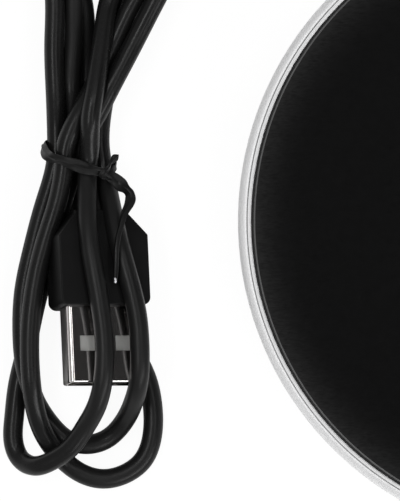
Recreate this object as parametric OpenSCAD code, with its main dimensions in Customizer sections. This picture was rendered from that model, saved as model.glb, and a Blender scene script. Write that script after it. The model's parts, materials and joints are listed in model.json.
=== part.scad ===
// Electric mug warmer: an aluminium-ringed heating disc on a USB lead, millimetres.
// Origin at the middle of the disc on the surface that it stands on. +Z is up,
// -Y is the button side and +Y is the side where the lead leaves.

/* [Warmer body] */
// Outside diameter of the trim ring
body_d = 100; // [90:0.5:120]
// Height of the trim ring's top above the table
body_h = 14; // [13.8:0.1:18]
// Height of the trim ring's lower edge above the table
ring_lift = 2.6; // [2.2:0.1:3]
// Thickness of the trim ring's side wall
ring_wall = 2; // [1.6:0.1:2.4]
// Radius of the ring's rounded shoulder
shoulder_r = 1.3; // [0.6:0.1:1.4]
// Depth of the fine groove inside the shoulder
groove_depth = 0.25; // [0.1:0.05:0.4]
// Width of the fine groove inside the shoulder
groove_w = 0.2; // [0.1:0.05:0.3]
// Width of the bright land between the groove and the plate
land_w = 0.5; // [0.4:0.05:0.7]
// Thickness of the ring's clamped inner rib
rib_t = 1.2; // [0.8:0.1:1.6]

/* [Heating plate] */
// Thickness of the glass heating plate
plate_t = 3; // [2.5:0.1:4]
// How far the plate stands above the ring
plate_proud = 0.1; // [0:0.05:0.4]
// Radial gap between the plate and the ring
plate_gap = 0.4; // [0.3:0.05:0.6]
// Bevel round the plate's top edge
plate_bevel = 0.25; // [0.1:0.05:0.5]
// Thickness of the gasket under the plate
gasket_t = 0.5; // [0.3:0.1:0.8]

/* [Heater stack] */
// Thickness of the aluminium heat spreader
spreader_t = 1; // [0.6:0.1:1.2]
// Thickness of the polyimide heating film
film_t = 0.3; // [0.2:0.05:0.4]
// Thickness of the etched heater track
track_t = 0.2; // [0.1:0.05:0.3]
// Width of the etched heater track
track_w = 1.8; // [1:0.1:2.4]
// Distance from one heater track to the next
track_pitch = 4.4; // [3.6:0.1:6]
// Thickness of the insulation pad
pad_t = 2; // [1.6:0.1:2.4]
// Thickness of the sheet-metal heat shield
shield_t = 0.5; // [0.3:0.1:0.8]

/* [Inner frame and base] */
// Thickness of the frame's ledge under the plate
ledge_t = 1.2; // [1:0.1:1.6]
// Width of the frame's ledge
ledge_w = 4.3; // [3.8:0.1:5]
// Wall thickness of the base cover
base_wall = 1.4; // [1.2:0.1:1.8]
// Height of the base cover's underside above the table
base_lift = 0.8; // [0.6:0.1:1.2]
// Diameter of the rubber feet
foot_d = 9; // [7:0.5:12]
// Distance of the rubber feet from the middle
foot_r = 34; // [28:0.5:36]
// Depth of the recesses that hold the feet
foot_seat = 0.6; // [0.4:0.1:0.8]
// Shank diameter of the base screws
screw_d = 2.2; // [1.8:0.1:2.6]

/* [Power button] */
// Width of the button's face
button_w = 9; // [7:0.5:12]
// Height of the button's face
button_h = 2.8; // [2.2:0.1:3.2]
// How far the button stands out of the ring
button_proud = 0.5; // [0.3:0.1:0.8]
// How far the button travels
button_travel = 0.5; // [0.3:0.05:0.6]
// Gap round the button in its slot
button_play = 0.15; // [0.1:0.05:0.25]

/* [Control board] */
// Width of the control board
board_w = 34; // [30:1:40]
// Depth of the control board
board_l = 20; // [18:1:26]
// Thickness of the control board
board_t = 1; // [0.8:0.1:1.6]

/* [USB lead] */
// Diameter of the lead's jacket
cord_d = 3.1; // [2.8:0.1:3.4]
// Length of the strain relief outside the ring
relief_l = 12; // [9:0.5:16]
// Height of the folded hank
hank_h = 9; // [8:0.5:11]

/* [USB plug] */
// Width of the metal shell
shell_w = 12; // [11.9:0.05:12.1]
// Thickness of the metal shell across its flats
shell_h = 4.5; // [4.4:0.05:4.6]
// Length of the shell that stands out of the grip
shell_l = 12; // [11.5:0.05:12.6]
// Sheet thickness of the shell
shell_sheet = 0.3; // [0.25:0.05:0.4]
// Width of the moulded grip
grip_w = 14.5; // [13.8:0.1:16]
// Thickness of the moulded grip
grip_h = 7.5; // [7:0.1:9]
// Length of the grip's straight part
grip_l = 11; // [9.4:0.1:14]
// Width of the grip's neck
neck_w = 7.7; // [6:0.1:9]

/* [Hidden] */
$fn = 96;
eps = 0.01;
fit = 0.15;          // clearance of a located, unscrewed fit
thread_gap = 0.05;   // clearance round a screw's shank

// Radii, from the ring inwards
body_r = body_d / 2;
ring_in_r = body_r - ring_wall;
groove_r = ring_in_r + land_w + groove_w / 2;
plate_r = ring_in_r - plate_gap;
frame_r = ring_in_r - fit;
ledge_in_r = frame_r - ledge_w;
spreader_r = ledge_in_r - 0.5;
film_r = spreader_r - 1;
pad_r = film_r + 0.5;
shield_r = pad_r + shield_t;
rib_in_r = ring_in_r - 1.4;
base_in_r = frame_r - base_wall;
skirt_r = base_in_r - fit;
skirt_in_r = skirt_r - 1.5;

// Heights, from the plate downwards
plate_z = body_h + plate_proud - plate_t;
ledge_z = plate_z - gasket_t - ledge_t;
rib_z = ledge_z - rib_t;
spreader_z = plate_z - spreader_t;
film_z = spreader_z - film_t;
track_z = film_z - track_t;
pad_z = track_z - pad_t;
shield_z = pad_z - shield_t;
floor_z = base_lift + base_wall;
skirt_z = floor_z + 2.8;
board_z = floor_z + 0.9;
board_top = board_z + board_t;

// Places on the plan
screw_r = skirt_in_r - 2.2;
boss_r = 2.5;
head_r = 2;
head_h = 1.1;
small_d = 1.6;       // shank of the small screws on board, clamp and shield
small_head_d = 3.2;
small_head_h = 0.9;
tab_head_d = 2.8;
tab_head_h = 0.7;
ledge_cover = 0.3;   // what is left of the ledge over a shield screw's tip
board_cover = 0.7;   // what is left of the base under a board screw's tip
clamp_cover = 1;     // what is left of the base under a clamp screw's tip
boss_cover = 1;      // what is left of a boss over a base screw's tip
boss_z = floor_z + 0.8;
boss_top = shield_z - 0.1;
tab_angles = [15, 105, 195, 285];
tab_w = 6;
tab_screw_r = shield_r + 1.6;
board_y0 = -(base_in_r - 5.4);
button_z = board_top + 1;
flange_w = button_w + 3;
flange_h = button_h + 0.9;
flange_t = 1;
flange_y = -sqrt(base_in_r * base_in_r - flange_w * flange_w / 4) + 0.2;
switch_w = 6;
switch_l = 3.6;
switch_h = 2;
switch_y = board_y0 - 0.2;
plunger_r = 0.8;
plunger_tip = switch_y - 1.4;
pipe_x = button_w / 2 + 4;
pipe_r = 0.8;
led_h = 1.4;

// Where the lead leaves
gland_z = floor_z + 2.2;
gland_neck_r = 1.95;
gland_flange_r = 3;
gland_big_r = 2.6;
entry_y = base_in_r - 12;
clamp_y = entry_y + 5;
clamp_w = 13;
clamp_l = 5;
clamp_screw_x = 4.7;
clamp_t = 1.4;

// ---- helpers -------------------------------------------------------------

// Copies the children to four places at 45 degrees and every 90 degrees on
module at_corners(r) {
    for (i = [0:3])
        rotate([0, 0, 45 + 90 * i])
            translate([r, 0, 0])
                children();
}

// A plain disc or ring between two heights
module ring_slab(r_out, r_in, z0, z1) {
    difference() {
        translate([0, 0, z0])
            cylinder(h = z1 - z0, r = r_out);
        if (r_in > 0)
            translate([0, 0, z0 - 1])
                cylinder(h = z1 - z0 + 2, r = r_in);
    }
}

// A bar with round ends, w long along X and h high along Z, laid along Y
module pill(w, h, y0, y1) {
    translate([-(w - h) / 2, y0, -h / 2])
        cube([w - h, y1 - y0, h]);
    for (s = [-1, 1])
        translate([s * (w - h) / 2, y0, 0])
            rotate([-90, 0, 0])
                cylinder(h = y1 - y0, d = h, $fn = 32);
}

// A screw with its head down at z = 0 and its shank upwards
module screw(head, head_t, shank, length) {
    difference() {
        union() {
            cylinder(h = head_t, d = head, $fn = 32);
            cylinder(h = head_t + length, d = shank, $fn = 24);
        }
        for (a = [0, 90])
            rotate([0, 0, a])
                translate([-head * 0.3, -0.2, -1])
                    cube([head * 0.6, 0.4, 1 + head_t * 0.5]);
    }
}

function unit(v) = v / norm(v);

// Points on a smooth curve through a route's points, n steps to each span
function spline_at(p0, p1, p2, p3, t) =
    0.5 * (2 * p1 + (p2 - p0) * t + (2 * p0 - 5 * p1 + 4 * p2 - p3) * t * t
        + (3 * p1 - p0 - 3 * p2 + p3) * t * t * t);
function smooth_route(p, n) =
    let (last = len(p) - 1)
    [for (i = [0:last - 1], k = [0:n - 1])
        spline_at(p[max(i - 1, 0)], p[i], p[i + 1], p[min(i + 2, last)], k / n),
     p[last]];

// A closed tube swept along a list of points that never runs straight up
module tube(path, d, sides) {
    n = len(path);
    rings = [for (i = [0:n - 1])
        let (t = unit(path[min(i + 1, n - 1)] - path[max(i - 1, 0)]),
             u = unit(cross([0, 0, 1], t)),
             v = cross(t, u))
        for (k = [0:sides - 1])
            path[i] + d / 2 * (u * cos(360 * k / sides) + v * sin(360 * k / sides))];
    skins = [for (i = [0:n - 2], k = [0:sides - 1])
        let (a = i * sides + k, b = i * sides + (k + 1) % sides)
        [a, a + sides, b + sides, b]];
    ends = [[for (k = [0:sides - 1]) k],
            [for (k = [sides - 1:-1:0]) (n - 1) * sides + k]];
    polyhedron(points = rings, faces = concat(skins, ends), convexity = 6);
}

// ---- warmer body ---------------------------------------------------------

// Turned aluminium ring: rounded shoulder, fine groove, bright land and a clamped rib
module trim_ring() {
    color([0.8, 0.8, 0.8])
    difference() {
        rotate_extrude($fn = 128)
            difference() {
                union() {
                    translate([ring_in_r, ring_lift])
                        square([ring_wall, body_h - shoulder_r - ring_lift]);
                    translate([ring_in_r, body_h - shoulder_r - eps])
                        square([ring_wall - shoulder_r, shoulder_r + eps]);
                    translate([body_r - shoulder_r, body_h - shoulder_r])
                        intersection() {
                            circle(r = shoulder_r, $fn = 48);
                            square(shoulder_r);
                        }
                    translate([rib_in_r, rib_z])
                        square([ring_in_r - rib_in_r + eps, rib_t]);
                }
                translate([groove_r - groove_w / 2, body_h - groove_depth])
                    square([groove_w, 1]);
                // bevel along the inner edge and along the lower outer edge
                polygon([[ring_in_r - 1, body_h + 1], [ring_in_r - 1, body_h - 1.2],
                    [ring_in_r + 0.2, body_h], [ring_in_r + 0.2, body_h + 1]]);
                polygon([[body_r - 0.4, ring_lift - eps], [body_r + 1, ring_lift - eps],
                    [body_r + 1, ring_lift + 1.4]]);
            }
        // slot for the button, hole for the light pipe and notch for the strain relief
        translate([0, 0, button_z])
            pill(button_w + 2 * button_play, button_h + 2 * button_play, -body_r - 1, -30);
        translate([pipe_x, -body_r - 1, button_z])
            rotate([-90, 0, 0])
                cylinder(h = 12, r = pipe_r + 0.05, $fn = 32);
        gland_notch(body_r + 1, ring_lift - 1, gland_z);
    }
}

// Round-ended slot that lets the strain relief's neck through a wall
module gland_notch(y_out, z0, z1) {
    translate([0, base_in_r - 4, gland_z])
        rotate([-90, 0, 0])
            cylinder(h = y_out - base_in_r + 4, r = gland_neck_r + 0.1, $fn = 48);
    translate([-gland_neck_r - 0.1, base_in_r - 4, z0])
        cube([2 * gland_neck_r + 0.2, y_out - base_in_r + 4, z1 - z0]);
}

// Black glass plate with a bevelled edge
module heating_plate() {
    color([0.05, 0.05, 0.05])
    translate([0, 0, plate_z]) {
        cylinder(h = plate_t - plate_bevel, r = plate_r, $fn = 128);
        translate([0, 0, plate_t - plate_bevel])
            cylinder(h = plate_bevel, r1 = plate_r, r2 = plate_r - plate_bevel, $fn = 128);
    }
}

// Silicone gasket: a flat leg under the plate and a lip up the gap round it
module plate_gasket() {
    lip_h = plate_t - 0.8;
    color([0.12, 0.12, 0.12])
    difference() {
        ring_slab(ring_in_r - 0.1, ledge_in_r + 0.8, plate_z - gasket_t, plate_z + lip_h);
        translate([0, 0, plate_z])
            cylinder(h = plate_t, r = plate_r + 0.05);
    }
}

// ---- heater stack --------------------------------------------------------

module heat_spreader() {
    color([0.75, 0.76, 0.78])
    difference() {
        ring_slab(spreader_r, 0, spreader_z, plate_z);
        // shallow seat in the middle for the temperature sensor
        translate([0, 0, spreader_z - 1])
            cylinder(h = 1 + bead_seat, r = 2, $fn = 32);
    }
}

module heating_film() {
    tail_w = 12;
    color([0.72, 0.42, 0.12]) {
        ring_slab(film_r, 2.4, film_z, spreader_z);
        translate([-tail_w / 2, -film_r - 0.4, film_z])
            cube([tail_w, 4, film_t]);
    }
}

track_r0 = 9;        // innermost ring of the track
track_edge = 3;      // least distance of the outermost ring from the film's edge
track_gap = 4;       // half the gap in each ring
track_lap = 0.5;     // how far a bridge between two rings laps over them
end_pad_r = 1.6;     // round pads at the track's ends
end_pad_x = 1.2;
track_n = floor((film_r - track_edge - track_r0) / track_pitch) + 1;
function track_r(k) = track_r0 + k * track_pitch;

// Etched track: open rings joined turn by turn on alternate sides of the gap
module heater_track() {
    color([0.86, 0.5, 0.3])
    translate([0, 0, track_z]) {
        for (k = [0:track_n - 1]) {
            open_a = asin(track_gap / track_r(k));
            rotate([0, 0, -90 + open_a])
                rotate_extrude(angle = 360 - 2 * open_a, $fn = 96)
                    translate([track_r(k) - track_w / 2, 0])
                        square([track_w, track_t]);
        }
        for (k = [0:track_n - 2]) {
            side = k % 2 == 0 ? 1 : -1;
            translate([side * (track_gap + track_w / 2) - track_w / 2,
                -sqrt(pow(track_r(k + 1), 2) - pow(track_gap, 2)) - track_lap, 0])
                cube([track_w, track_pitch + 2 * track_lap, track_t]);
        }
        for (side = [-1, 1])
            translate([side * track_gap, side > 0 == (track_n % 2 == 0)
                ? -track_r(track_n - 1) : -track_r(0), 0])
                translate([side * end_pad_x, 0, 0])
                    cylinder(h = track_t, r = end_pad_r, $fn = 32);
    }
}

fuse_y = 16;
fuse_l = 9;
lead_x = 5.2;
lead_y = [-track_r(0), -track_r(track_n - 1)];

// Holes that the sensor, the fuse and the heater's wires take through pad and shield
module stack_holes(z0, z1) {
    translate([0, 0, z0])
        cylinder(h = z1 - z0, r = 2.4, $fn = 32);
    for (i = [0, 1])
        translate([(i == 0 ? -1 : 1) * lead_x, lead_y[i], z0])
            cylinder(h = z1 - z0, r = 1.2, $fn = 24);
    for (s = [-1, 1])
        translate([s * fuse_l / 2, fuse_y, z0])
            cylinder(h = z1 - z0, r = 0.8, $fn = 24);
}

// Soft pad that presses the film up and keeps the heat in
module insulation_pad() {
    color([0.86, 0.84, 0.78])
    difference() {
        ring_slab(pad_r, 0, pad_z, track_z);
        stack_holes(pad_z - 1, track_z + 1);
        translate([-fuse_l / 2 - 0.6, fuse_y - 1.2, pad_z - 1])
            cube([fuse_l + 1.2, 2.4, pad_t + 2]);
    }
}

// Pressed dish under the pad, held to the ledge by four tabs
module heat_shield() {
    color([0.66, 0.67, 0.68])
    difference() {
        union() {
            ring_slab(shield_r, 0, shield_z, pad_z);
            for (a = tab_angles)
                rotate([0, 0, a]) {
                    intersection() {
                        ring_slab(shield_r, shield_r - shield_t, shield_z, ledge_z);
                        translate([0, -tab_w / 2, 0])
                            cube([body_r, tab_w, body_h]);
                    }
                    translate([shield_r - shield_t, -tab_w / 2, ledge_z - shield_t])
                        cube([tab_screw_r + 1.8 - shield_r + shield_t, tab_w, shield_t]);
                }
        }
        stack_holes(shield_z - 1, pad_z + 1);
        for (a = tab_angles)
            rotate([0, 0, a])
                translate([tab_screw_r, 0, ledge_z - 2])
                    cylinder(h = 3, r = 0.95, $fn = 24);
    }
}

module shield_screws() {
    color([0.6, 0.6, 0.62])
    for (a = tab_angles)
        rotate([0, 0, a])
            translate([tab_screw_r, 0, ledge_z - shield_t - tab_head_h])
                screw(tab_head_d, tab_head_h, small_d, shield_t + ledge_t - ledge_cover);
}

// ---- frame and base ------------------------------------------------------

// Skirt under the ledge with its four screw bosses, their webs and short ribs
module frame_skirt() {
    difference() {
        union() {
            ring_slab(skirt_r, skirt_in_r, skirt_z, ledge_z + eps);
            at_corners(screw_r)
                translate([0, 0, boss_z])
                    cylinder(h = boss_top - boss_z, r = boss_r, $fn = 48);
            // webs that tie each boss to the skirt
            at_corners(screw_r)
                for (s = [-1, 1])
                    translate([0, s * (boss_r - 0.8) - 0.5, skirt_z + 0.4])
                        cube([skirt_in_r - screw_r + 0.6, 1, boss_top - skirt_z - 0.7]);
            for (i = [0:23])
                if (i % 6 != 1)
                    rotate([0, 0, 15 * i])
                        translate([ledge_in_r + 0.8, -0.4, ledge_z - 1.2])
                            cube([skirt_in_r - ledge_in_r - 0.3, 0.8, 1.2 + eps]);
        }
        // room for each tab of the heat shield and the head of its screw
        for (a = tab_angles)
            rotate([0, 0, a])
                translate([skirt_in_r - 2, -tab_w / 2 - 0.4, skirt_z - 1])
                    cube([tab_screw_r + 4 - skirt_in_r, tab_w + 0.8, ledge_z - skirt_z + 2]);
    }
}

// Moulded frame: ledge for the plate over the skirt that the base screws to
module inner_frame() {
    color([0.16, 0.16, 0.17])
    difference() {
        union() {
            ring_slab(frame_r, ledge_in_r, ledge_z, ledge_z + ledge_t);
            frame_skirt();
        }
        at_corners(screw_r)
            translate([0, 0, boss_z - 1])
                cylinder(h = boss_top - boss_z + 0.4, d = screw_d + 2 * thread_gap, $fn = 24);
        for (a = tab_angles)
            rotate([0, 0, a])
                translate([tab_screw_r, 0, ledge_z - 1])
                    cylinder(h = ledge_t + 0.7, r = 0.8 + thread_gap, $fn = 24);
        // room for the button, the light pipe and the strain relief in the skirt
        translate([-flange_w / 2 - 0.6, -body_r, skirt_z - 1])
            cube([flange_w / 2 + 0.6 + pipe_x + 2, 12, button_z + 3.2 - skirt_z]);
        translate([-gland_flange_r - 0.4, skirt_in_r - 4, skirt_z - 1])
            cube([2 * gland_flange_r + 0.8, 12, gland_z + gland_flange_r + 1.4 - skirt_z]);
    }
}

// Lower moulding: a shallow dish whose wall stands inside the ring and clamps its rib
module base_cover() {
    color([0.13, 0.13, 0.14])
    difference() {
        union() {
            rotate_extrude($fn = 128)
                polygon([[0, base_lift], [frame_r - 4.4, base_lift],
                    [frame_r - 1.6, base_lift + 0.6], [frame_r, ring_lift - 0.2],
                    [frame_r, rib_z], [base_in_r, rib_z], [base_in_r, floor_z],
                    [0, floor_z]]);
            at_corners(screw_r)
                translate([0, 0, base_lift])
                    cylinder(h = boss_z - base_lift, r = head_r + 1.2, $fn = 48);
            board_posts();
            clamp_posts();
            floor_ribs();
            button_guide();
        }
        at_corners(screw_r) {
            translate([0, 0, base_lift - 1])
                cylinder(h = 1 + head_h + 0.1, r = head_r + 0.2, $fn = 48);
            translate([0, 0, base_lift - 1])
                cylinder(h = 9, d = screw_d + 0.4, $fn = 32);
        }
        for (i = [0:3])
            rotate([0, 0, 90 * i])
                translate([foot_r, 0, base_lift - 1])
                    cylinder(h = 1 + foot_seat, d = foot_d, $fn = 64);
        translate([0, 0, button_z])
            pill(button_w + 2 * button_play, button_h + 2 * button_play, -body_r, -base_in_r + 3);
        translate([pipe_x, -body_r, button_z])
            rotate([-90, 0, 0])
                cylinder(h = 8, r = pipe_r + 0.05, $fn = 32);
        gland_notch(body_r, gland_z, rib_z + 1);
        for (p = board_holes)
            translate([p[0], p[1], base_lift + 0.5])
                cylinder(h = 8, d = small_d + 2 * thread_gap, $fn = 24);
        for (s = [-1, 1])
            translate([s * clamp_screw_x, clamp_y, base_lift + 0.5])
                cylinder(h = 8, d = small_d + 2 * thread_gap, $fn = 24);
    }
}

board_holes = [[-board_w / 2 + 3, board_y0 + 8], [board_w / 2 - 3, board_y0 + 8],
    [0, board_y0 + board_l - 3]];

module board_posts() {
    for (p = board_holes)
        translate([p[0], p[1], floor_z - eps])
            cylinder(h = board_z - floor_z + eps, r = 2.2, $fn = 40);
}

module clamp_posts() {
    for (s = [-1, 1])
        translate([s * clamp_screw_x, clamp_y, floor_z - eps])
            cylinder(h = gland_z - floor_z + eps, r = 1.6, $fn = 40);
    // saddle that the jacket lies in
    difference() {
        translate([-2.6, clamp_y - clamp_l / 2, floor_z - eps])
            cube([5.2, clamp_l, gland_z - floor_z - 0.6]);
        translate([0, clamp_y - clamp_l, gland_z])
            rotate([-90, 0, 0])
                cylinder(h = 2 * clamp_l, d = cord_d, $fn = 48);
    }
}

// Stiffening ribs on the floor: two hoops and the spokes between them
module floor_ribs() {
    rib_h = 0.7;
    for (r = [10, 26])
        ring_slab(r + 0.4, r - 0.4, floor_z - eps, floor_z + rib_h);
    for (i = [0:11])
        rotate([0, 0, 15 + 30 * i])
            translate([10, -0.4, floor_z - eps])
                cube([i >= 8 && i <= 9 ? 9 : 16, 0.8, rib_h]);
}

// Two cheeks that steer the button's flange
module button_guide() {
    for (s = [-1, 1])
        translate([s * (flange_w / 2 + 0.2) - (s < 0 ? 1 : 0), flange_y - 0.1, floor_z - eps])
            cube([1, flange_t + button_travel + 0.4, 1.6]);
}

module base_screws() {
    color([0.55, 0.55, 0.57])
    at_corners(screw_r)
        translate([0, 0, base_lift + 0.1])
            screw(2 * head_r, head_h - 0.1 + eps, screw_d,
                boss_top - base_lift - head_h - boss_cover);
}

module rubber_feet() {
    color([0.08, 0.08, 0.08])
    for (i = [0:3])
        rotate([0, 0, 90 * i])
            translate([foot_r, 0, 0]) {
                translate([0, 0, 0.3])
                    cylinder(h = base_lift + foot_seat - 0.3, d = foot_d - 0.1, $fn = 64);
                cylinder(h = 0.3, d1 = foot_d - 0.7, d2 = foot_d - 0.1, $fn = 64);
            }
}

// ---- button, board and sensors -------------------------------------------

// Pill-shaped cap with a flange behind the wall and a boss that meets the switch
module button_cap() {
    face_y = -body_r - button_proud;
    color([0.2, 0.2, 0.21])
    translate([0, 0, button_z]) {
        difference() {
            pill(button_w, button_h, face_y, flange_y + flange_t);
            // thumb hollow in the face
            translate([0, face_y - 11.7, 0])
                rotate([0, 90, 0])
                    cylinder(h = button_w, r = 12, center = true, $fn = 96);
        }
        translate([-flange_w / 2, flange_y, -flange_h / 2])
            cube([flange_w, flange_t, flange_h]);
        translate([0, flange_y, 0])
            rotate([-90, 0, 0])
                cylinder(h = plunger_tip - flange_y, r = plunger_r + 0.5, $fn = 32);
    }
}

module switch_plunger() {
    color([0.15, 0.15, 0.16])
    translate([0, plunger_tip, button_z])
        rotate([-90, 0, 0])
            cylinder(h = 2.6, r = plunger_r, $fn = 32);
}

// Side-push switch: body with a bore for the plunger, metal cover and feet
module switch_body() {
    color([0.7, 0.7, 0.68])
    difference() {
        union() {
            translate([-switch_w / 2, switch_y, board_top])
                cube([switch_w, switch_l, switch_h]);
            for (s = [-1, 1])
                translate([s * (switch_w / 2 + 0.3) - 0.4, switch_y + 0.8, board_top])
                    cube([0.8, 2, 0.4]);
        }
        translate([0, switch_y - 1, button_z])
            rotate([-90, 0, 0])
                cylinder(h = 1 + 1.8 + button_travel, r = plunger_r + 0.08, $fn = 32);
    }
}

module control_board() {
    color([0.06, 0.3, 0.16])
    difference() {
        translate([-board_w / 2, board_y0, board_z])
            cube([board_w, board_l, board_t]);
        for (p = board_holes)
            translate([p[0], p[1], board_z - 1])
                cylinder(h = 4, r = 1, $fn = 24);
        for (s = [-1, 1])
            translate([s * board_w / 2, board_y0, board_z - 1])
                rotate([0, 0, 45])
                    cube([6, 6, 5], center = true);
    }
}

// Wire sockets: size, then place from the middle line and from the board's back edge
socket = [2.6, 2.4, 1.2];
heater_socket_x = 9;
heater_socket_in = 4;
sensor_socket_x = 4.5;
sensor_socket_in = 2.5;
wire_pads = [for (s = [-1, 1]) [s * heater_socket_x, board_y0 + board_l - heater_socket_in]];
sensor_pads = [for (s = [-1, 1]) [s * sensor_socket_x, board_y0 + board_l - sensor_socket_in]];

// Parts on the board: size, then place from the middle line and from the board's front edge
chip = [5, 4, 1.2];
chip_at = [-7, 7];
chip_leg = [0.4, 0.9, 0.4];
leg_pitch = 1.2;
leg_from = 0.5;      // first leg, from the chip's end
leg_in = 0.1;        // how far a leg reaches into the chip
transistor = [5.6, 5, 1.4];
transistor_at = [-1.2, 6.5];
inductor_r = 2;
inductor_h = 1.8;
inductor_at = [-13, 13];
capacitor = [1.6, 0.9, 0.7];
capacitor_at = [1, 13];
capacitor_pitch = 2.4;

// Controller chip with its legs, power transistor, capacitors, inductor and wire sockets
module board_parts() {
    color([0.1, 0.1, 0.1])
    translate([0, 0, board_top]) {
        translate([chip_at[0], board_y0 + chip_at[1], 0]) {
            cube(chip);
            for (i = [0:3], y = [leg_in - chip_leg[1], chip[1] - leg_in])
                translate([leg_from + leg_pitch * i, y, 0])
                    cube(chip_leg);
        }
        translate([transistor_at[0], board_y0 + transistor_at[1], 0])
            cube(transistor);
        translate([inductor_at[0], board_y0 + inductor_at[1], 0])
            cylinder(h = inductor_h, r = inductor_r, $fn = 40);
        for (i = [0:2])
            translate([capacitor_at[0] + capacitor_pitch * i, board_y0 + capacitor_at[1], 0])
                cube(capacitor);
    }
    color([0.9, 0.88, 0.8])
    for (p = concat(wire_pads, sensor_pads))
        translate([p[0], p[1], board_top])
            cube(socket);
}

module board_screws() {
    color([0.6, 0.6, 0.62])
    for (p = board_holes)
        translate([p[0], p[1], board_top + small_head_h])
            rotate([180, 0, 0])
                screw(small_head_d, small_head_h, small_d,
                    board_t + board_z - base_lift - board_cover);
}

module status_led() {
    color([0.9, 0.95, 1])
    translate([pipe_x - 1.2, board_y0 + 0.5, board_top])
        cube([2.4, 1.6, led_h]);
}

// Clear rod that carries the light of the diode through base wall and ring
module light_pipe() {
    pipe_out = -sqrt(body_r * body_r - pipe_x * pipe_x) - 0.1;
    color([0.85, 0.9, 0.95])
    translate([pipe_x, 0, button_z]) {
        translate([0, pipe_out, 0])
            rotate([-90, 0, 0])
                cylinder(h = board_y0 + 0.2 - pipe_out, r = pipe_r, $fn = 32);
        // collar that stops it behind the wall
        translate([0, -sqrt(base_in_r * base_in_r - pipe_x * pipe_x) + 0.35, 0])
            rotate([-90, 0, 0])
                cylinder(h = 0.8, r = 1.3, $fn = 32);
    }
}

bead_seat = 0.2;
bead_l = 2;
bead_z = spreader_z + bead_seat - bead_l;

// Bead against the spreader, in the hole of the film and the pad
module thermistor() {
    color([0.2, 0.2, 0.22])
    translate([0, 0, bead_z])
        cylinder(h = bead_l, r = 1.3, $fn = 32);
}

// One-shot cut-out in its slot of the pad, with its legs turned down
module thermal_fuse() {
    color([0.75, 0.72, 0.6])
    translate([0, fuse_y, pad_z + 1]) {
        rotate([0, 90, 0]) {
            cylinder(h = fuse_l - 2.6, r = 0.9, center = true, $fn = 32);
            cylinder(h = fuse_l, r = 0.35, center = true, $fn = 16);
        }
        for (s = [-1, 1])
            translate([s * (fuse_l / 2), 0, -2.2])
                cylinder(h = 2.5, r = 0.35, $fn = 16);
    }
}

// ---- wires ---------------------------------------------------------------

wire_d = 1.2;
socket_gap = 0.05;

module wire(points) {
    tube(smooth_route(points, 2), wire_d, 6);
}

// From the board up to the two ends of the track
module heater_wires() {
    color([0.75, 0.1, 0.08])
    for (i = [0, 1]) {
        s = i == 0 ? -1 : 1;
        start_x = wire_pads[i][0] + socket[0] / 2;
        start_y = wire_pads[i][1] + (i == 0 ? socket[1] : 0) - s * (socket_gap + wire_d / 2);
        wire([[start_x, start_y, board_top + wire_d / 2],
            [start_x - s, start_y - 3 * s, board_top + 1.3],
            [s * lead_x, lead_y[i], shield_z - 0.9]]);
        translate([s * lead_x, lead_y[i], shield_z - 1.5])
            cylinder(h = track_z - shield_z + 1.5, d = wire_d, $fn = 24);
    }
}

// Red and black cores from the jacket's end to the board
module power_wires() {
    for (s = [-1, 1])
        color(s < 0 ? [0.7, 0.08, 0.07] : [0.08, 0.08, 0.08])
        wire([[s * 0.7, entry_y - socket_gap, gland_z],
            [s * 0.75, entry_y - 1.5, gland_z],
            [s * 1.6, entry_y - 4, gland_z - 0.6],
            [s * 7, entry_y - 13, floor_z + 1.7],
            [s * 13, 6, floor_z + 1.7],
            [s * 14, -6, floor_z + 1.7],
            [s * 12.6, board_y0 + board_l + 2, board_top + 0.9],
            [s * 12.6, board_y0 + board_l - 1.6, board_top + wire_d / 2 + socket_gap]]);
}

// Thin pair from the thermistor to the board
module sensor_wires() {
    color([0.85, 0.8, 0.3])
    for (i = [0, 1]) {
        s = i == 0 ? -1 : 1;
        end_x = sensor_pads[i][0] + socket[0] / 2;
        wire([[s * 0.65, 0.4, bead_z - wire_d / 2 - 0.02],
            [s * 0.9, -1, shield_z - 0.3],
            [s * 2.2, -6, shield_z - 1.2],
            [end_x, sensor_pads[i][1] + 6, board_top + 0.9],
            [end_x, sensor_pads[i][1] + socket[1] + socket_gap + wire_d / 2,
                board_top + wire_d / 2]]);
    }
}

// ---- lead ----------------------------------------------------------------

// End of the jacket inside the base
module cord_entry() {
    color([0.06, 0.06, 0.06])
    translate([0, entry_y, gland_z])
        rotate([-90, 0, 0])
            cylinder(h = base_in_r - 1.8 - entry_y, d = cord_d - 0.05, $fn = 48);
}

// Bar with a half-round hollow that holds the jacket down
module cord_clamp() {
    color([0.2, 0.2, 0.21])
    difference() {
        translate([-clamp_w / 2, clamp_y - clamp_l / 2, gland_z])
            cube([clamp_w, clamp_l, clamp_t]);
        translate([0, clamp_y - clamp_l, gland_z])
            rotate([-90, 0, 0])
                cylinder(h = 2 * clamp_l, r = cord_d / 2, $fn = 48);
        for (s = [-1, 1])
            translate([s * clamp_screw_x, clamp_y, gland_z - 1])
                cylinder(h = 5, r = 1, $fn = 24);
    }
    color([0.2, 0.2, 0.21])
    difference() {
        translate([0, clamp_y - clamp_l / 2, gland_z])
            rotate([-90, 0, 0])
                cylinder(h = clamp_l, r = cord_d / 2 + 0.6, $fn = 48);
        translate([0, clamp_y - clamp_l, gland_z])
            rotate([-90, 0, 0])
                cylinder(h = 2 * clamp_l, r = cord_d / 2, $fn = 48);
        translate([-10, clamp_y - clamp_l, gland_z - 10])
            cube([20, 2 * clamp_l, 10]);
    }
}

module clamp_screws() {
    color([0.6, 0.6, 0.62])
    for (s = [-1, 1])
        translate([s * clamp_screw_x, clamp_y, gland_z + clamp_t + small_head_h])
            rotate([180, 0, 0])
                screw(small_head_d, small_head_h, small_d,
                    clamp_t + gland_z - base_lift - clamp_cover);
}

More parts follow.
